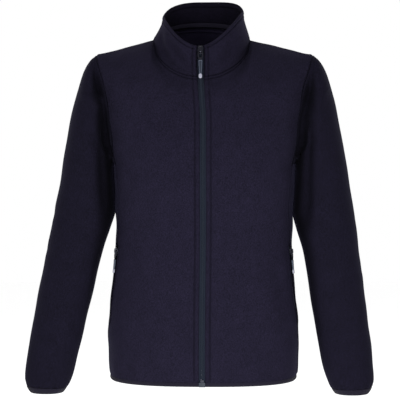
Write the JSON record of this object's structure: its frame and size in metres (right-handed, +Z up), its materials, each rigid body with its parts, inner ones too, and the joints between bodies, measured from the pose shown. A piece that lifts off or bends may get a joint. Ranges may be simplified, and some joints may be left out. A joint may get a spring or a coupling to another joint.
{
  "type": "fleece zip jacket",
  "caption": "Filled-out women's-cut fleece jacket with a stand collar, full front zip, set-in sleeves, zipped side pockets and bound cuffs and hem.",
  "frame": {"origin": "middle of the neck at the height of the high shoulder points, where a wearer's shoulders carry the jacket", "axes": "+X is the wearer's left, +Y the wearer's back, +Z up"},
  "size_m": [0.6439, 0.2361, 0.7215],
  "materials": {
    "fleece": "brushed micro-fleece, navy",
    "binding": "narrow knitted elastic binding and neck tape, navy",
    "zip_tape": "woven polyester zip tape, slate blue",
    "zip_chain": "nylon coil, slate blue",
    "slider_metal": "lacquered zinc die casting, gunmetal",
    "pull_grip": "moulded soft plastic, slate",
    "pull_tip": "moulded plastic, pale grey"
  },
  "bodies": {
    "jacket": {"front_left": "fleece", "front_right": "fleece", "back": "fleece", "collar": "fleece", "neck_tape": "binding", "sleeve_left": "fleece", "sleeve_right": "fleece", "cuff_binding_left": "binding", "cuff_binding_right": "binding", "hem_binding": "binding", "front_zip_tape_left": "zip_tape", "front_zip_tape_right": "zip_tape", "front_zip_chain": "zip_chain", "front_zip_box": "slider_metal", "front_slider": "slider_metal", "pocket_zip_tape_left": "zip_tape", "pocket_zip_chain_left": "zip_chain", "pocket_left_slider": "slider_metal", "pocket_zip_tape_right": "zip_tape", "pocket_zip_chain_right": "zip_chain", "pocket_right_slider": "slider_metal"},
    "front_pull": {"front_pull_tab": "slider_metal", "front_pull_grip": "pull_grip", "front_pull_tip": "pull_tip"},
    "pocket_left_pull": {"pocket_left_pull_tab": "slider_metal", "pocket_left_pull_grip": "pull_grip", "pocket_left_pull_tip": "pull_tip"},
    "pocket_right_pull": {"pocket_right_pull_tab": "slider_metal", "pocket_right_pull_grip": "pull_grip", "pocket_right_pull_tip": "pull_tip"}
  },
  "joints": [
    {"name": "front_pull_swing", "type": "hinge", "parent": "jacket", "child": "front_pull", "pos_m": [-0.0075, -0.07402, -0.01895], "axis": [-1, 0, 0], "range_deg": [0, 160]},
    {"name": "pocket_left_pull_swing", "type": "hinge", "parent": "jacket", "child": "pocket_left_pull", "pos_m": [0.15862, -0.04392, -0.38477], "axis": [-0.3474, -0.9342, -0.0816], "range_deg": [0, 150]},
    {"name": "pocket_right_pull_swing", "type": "hinge", "parent": "jacket", "child": "pocket_right_pull", "pos_m": [-0.16348, -0.04393, -0.3847], "axis": [-0.3472, 0.9336, 0.088], "range_deg": [0, 150]}
  ]
}
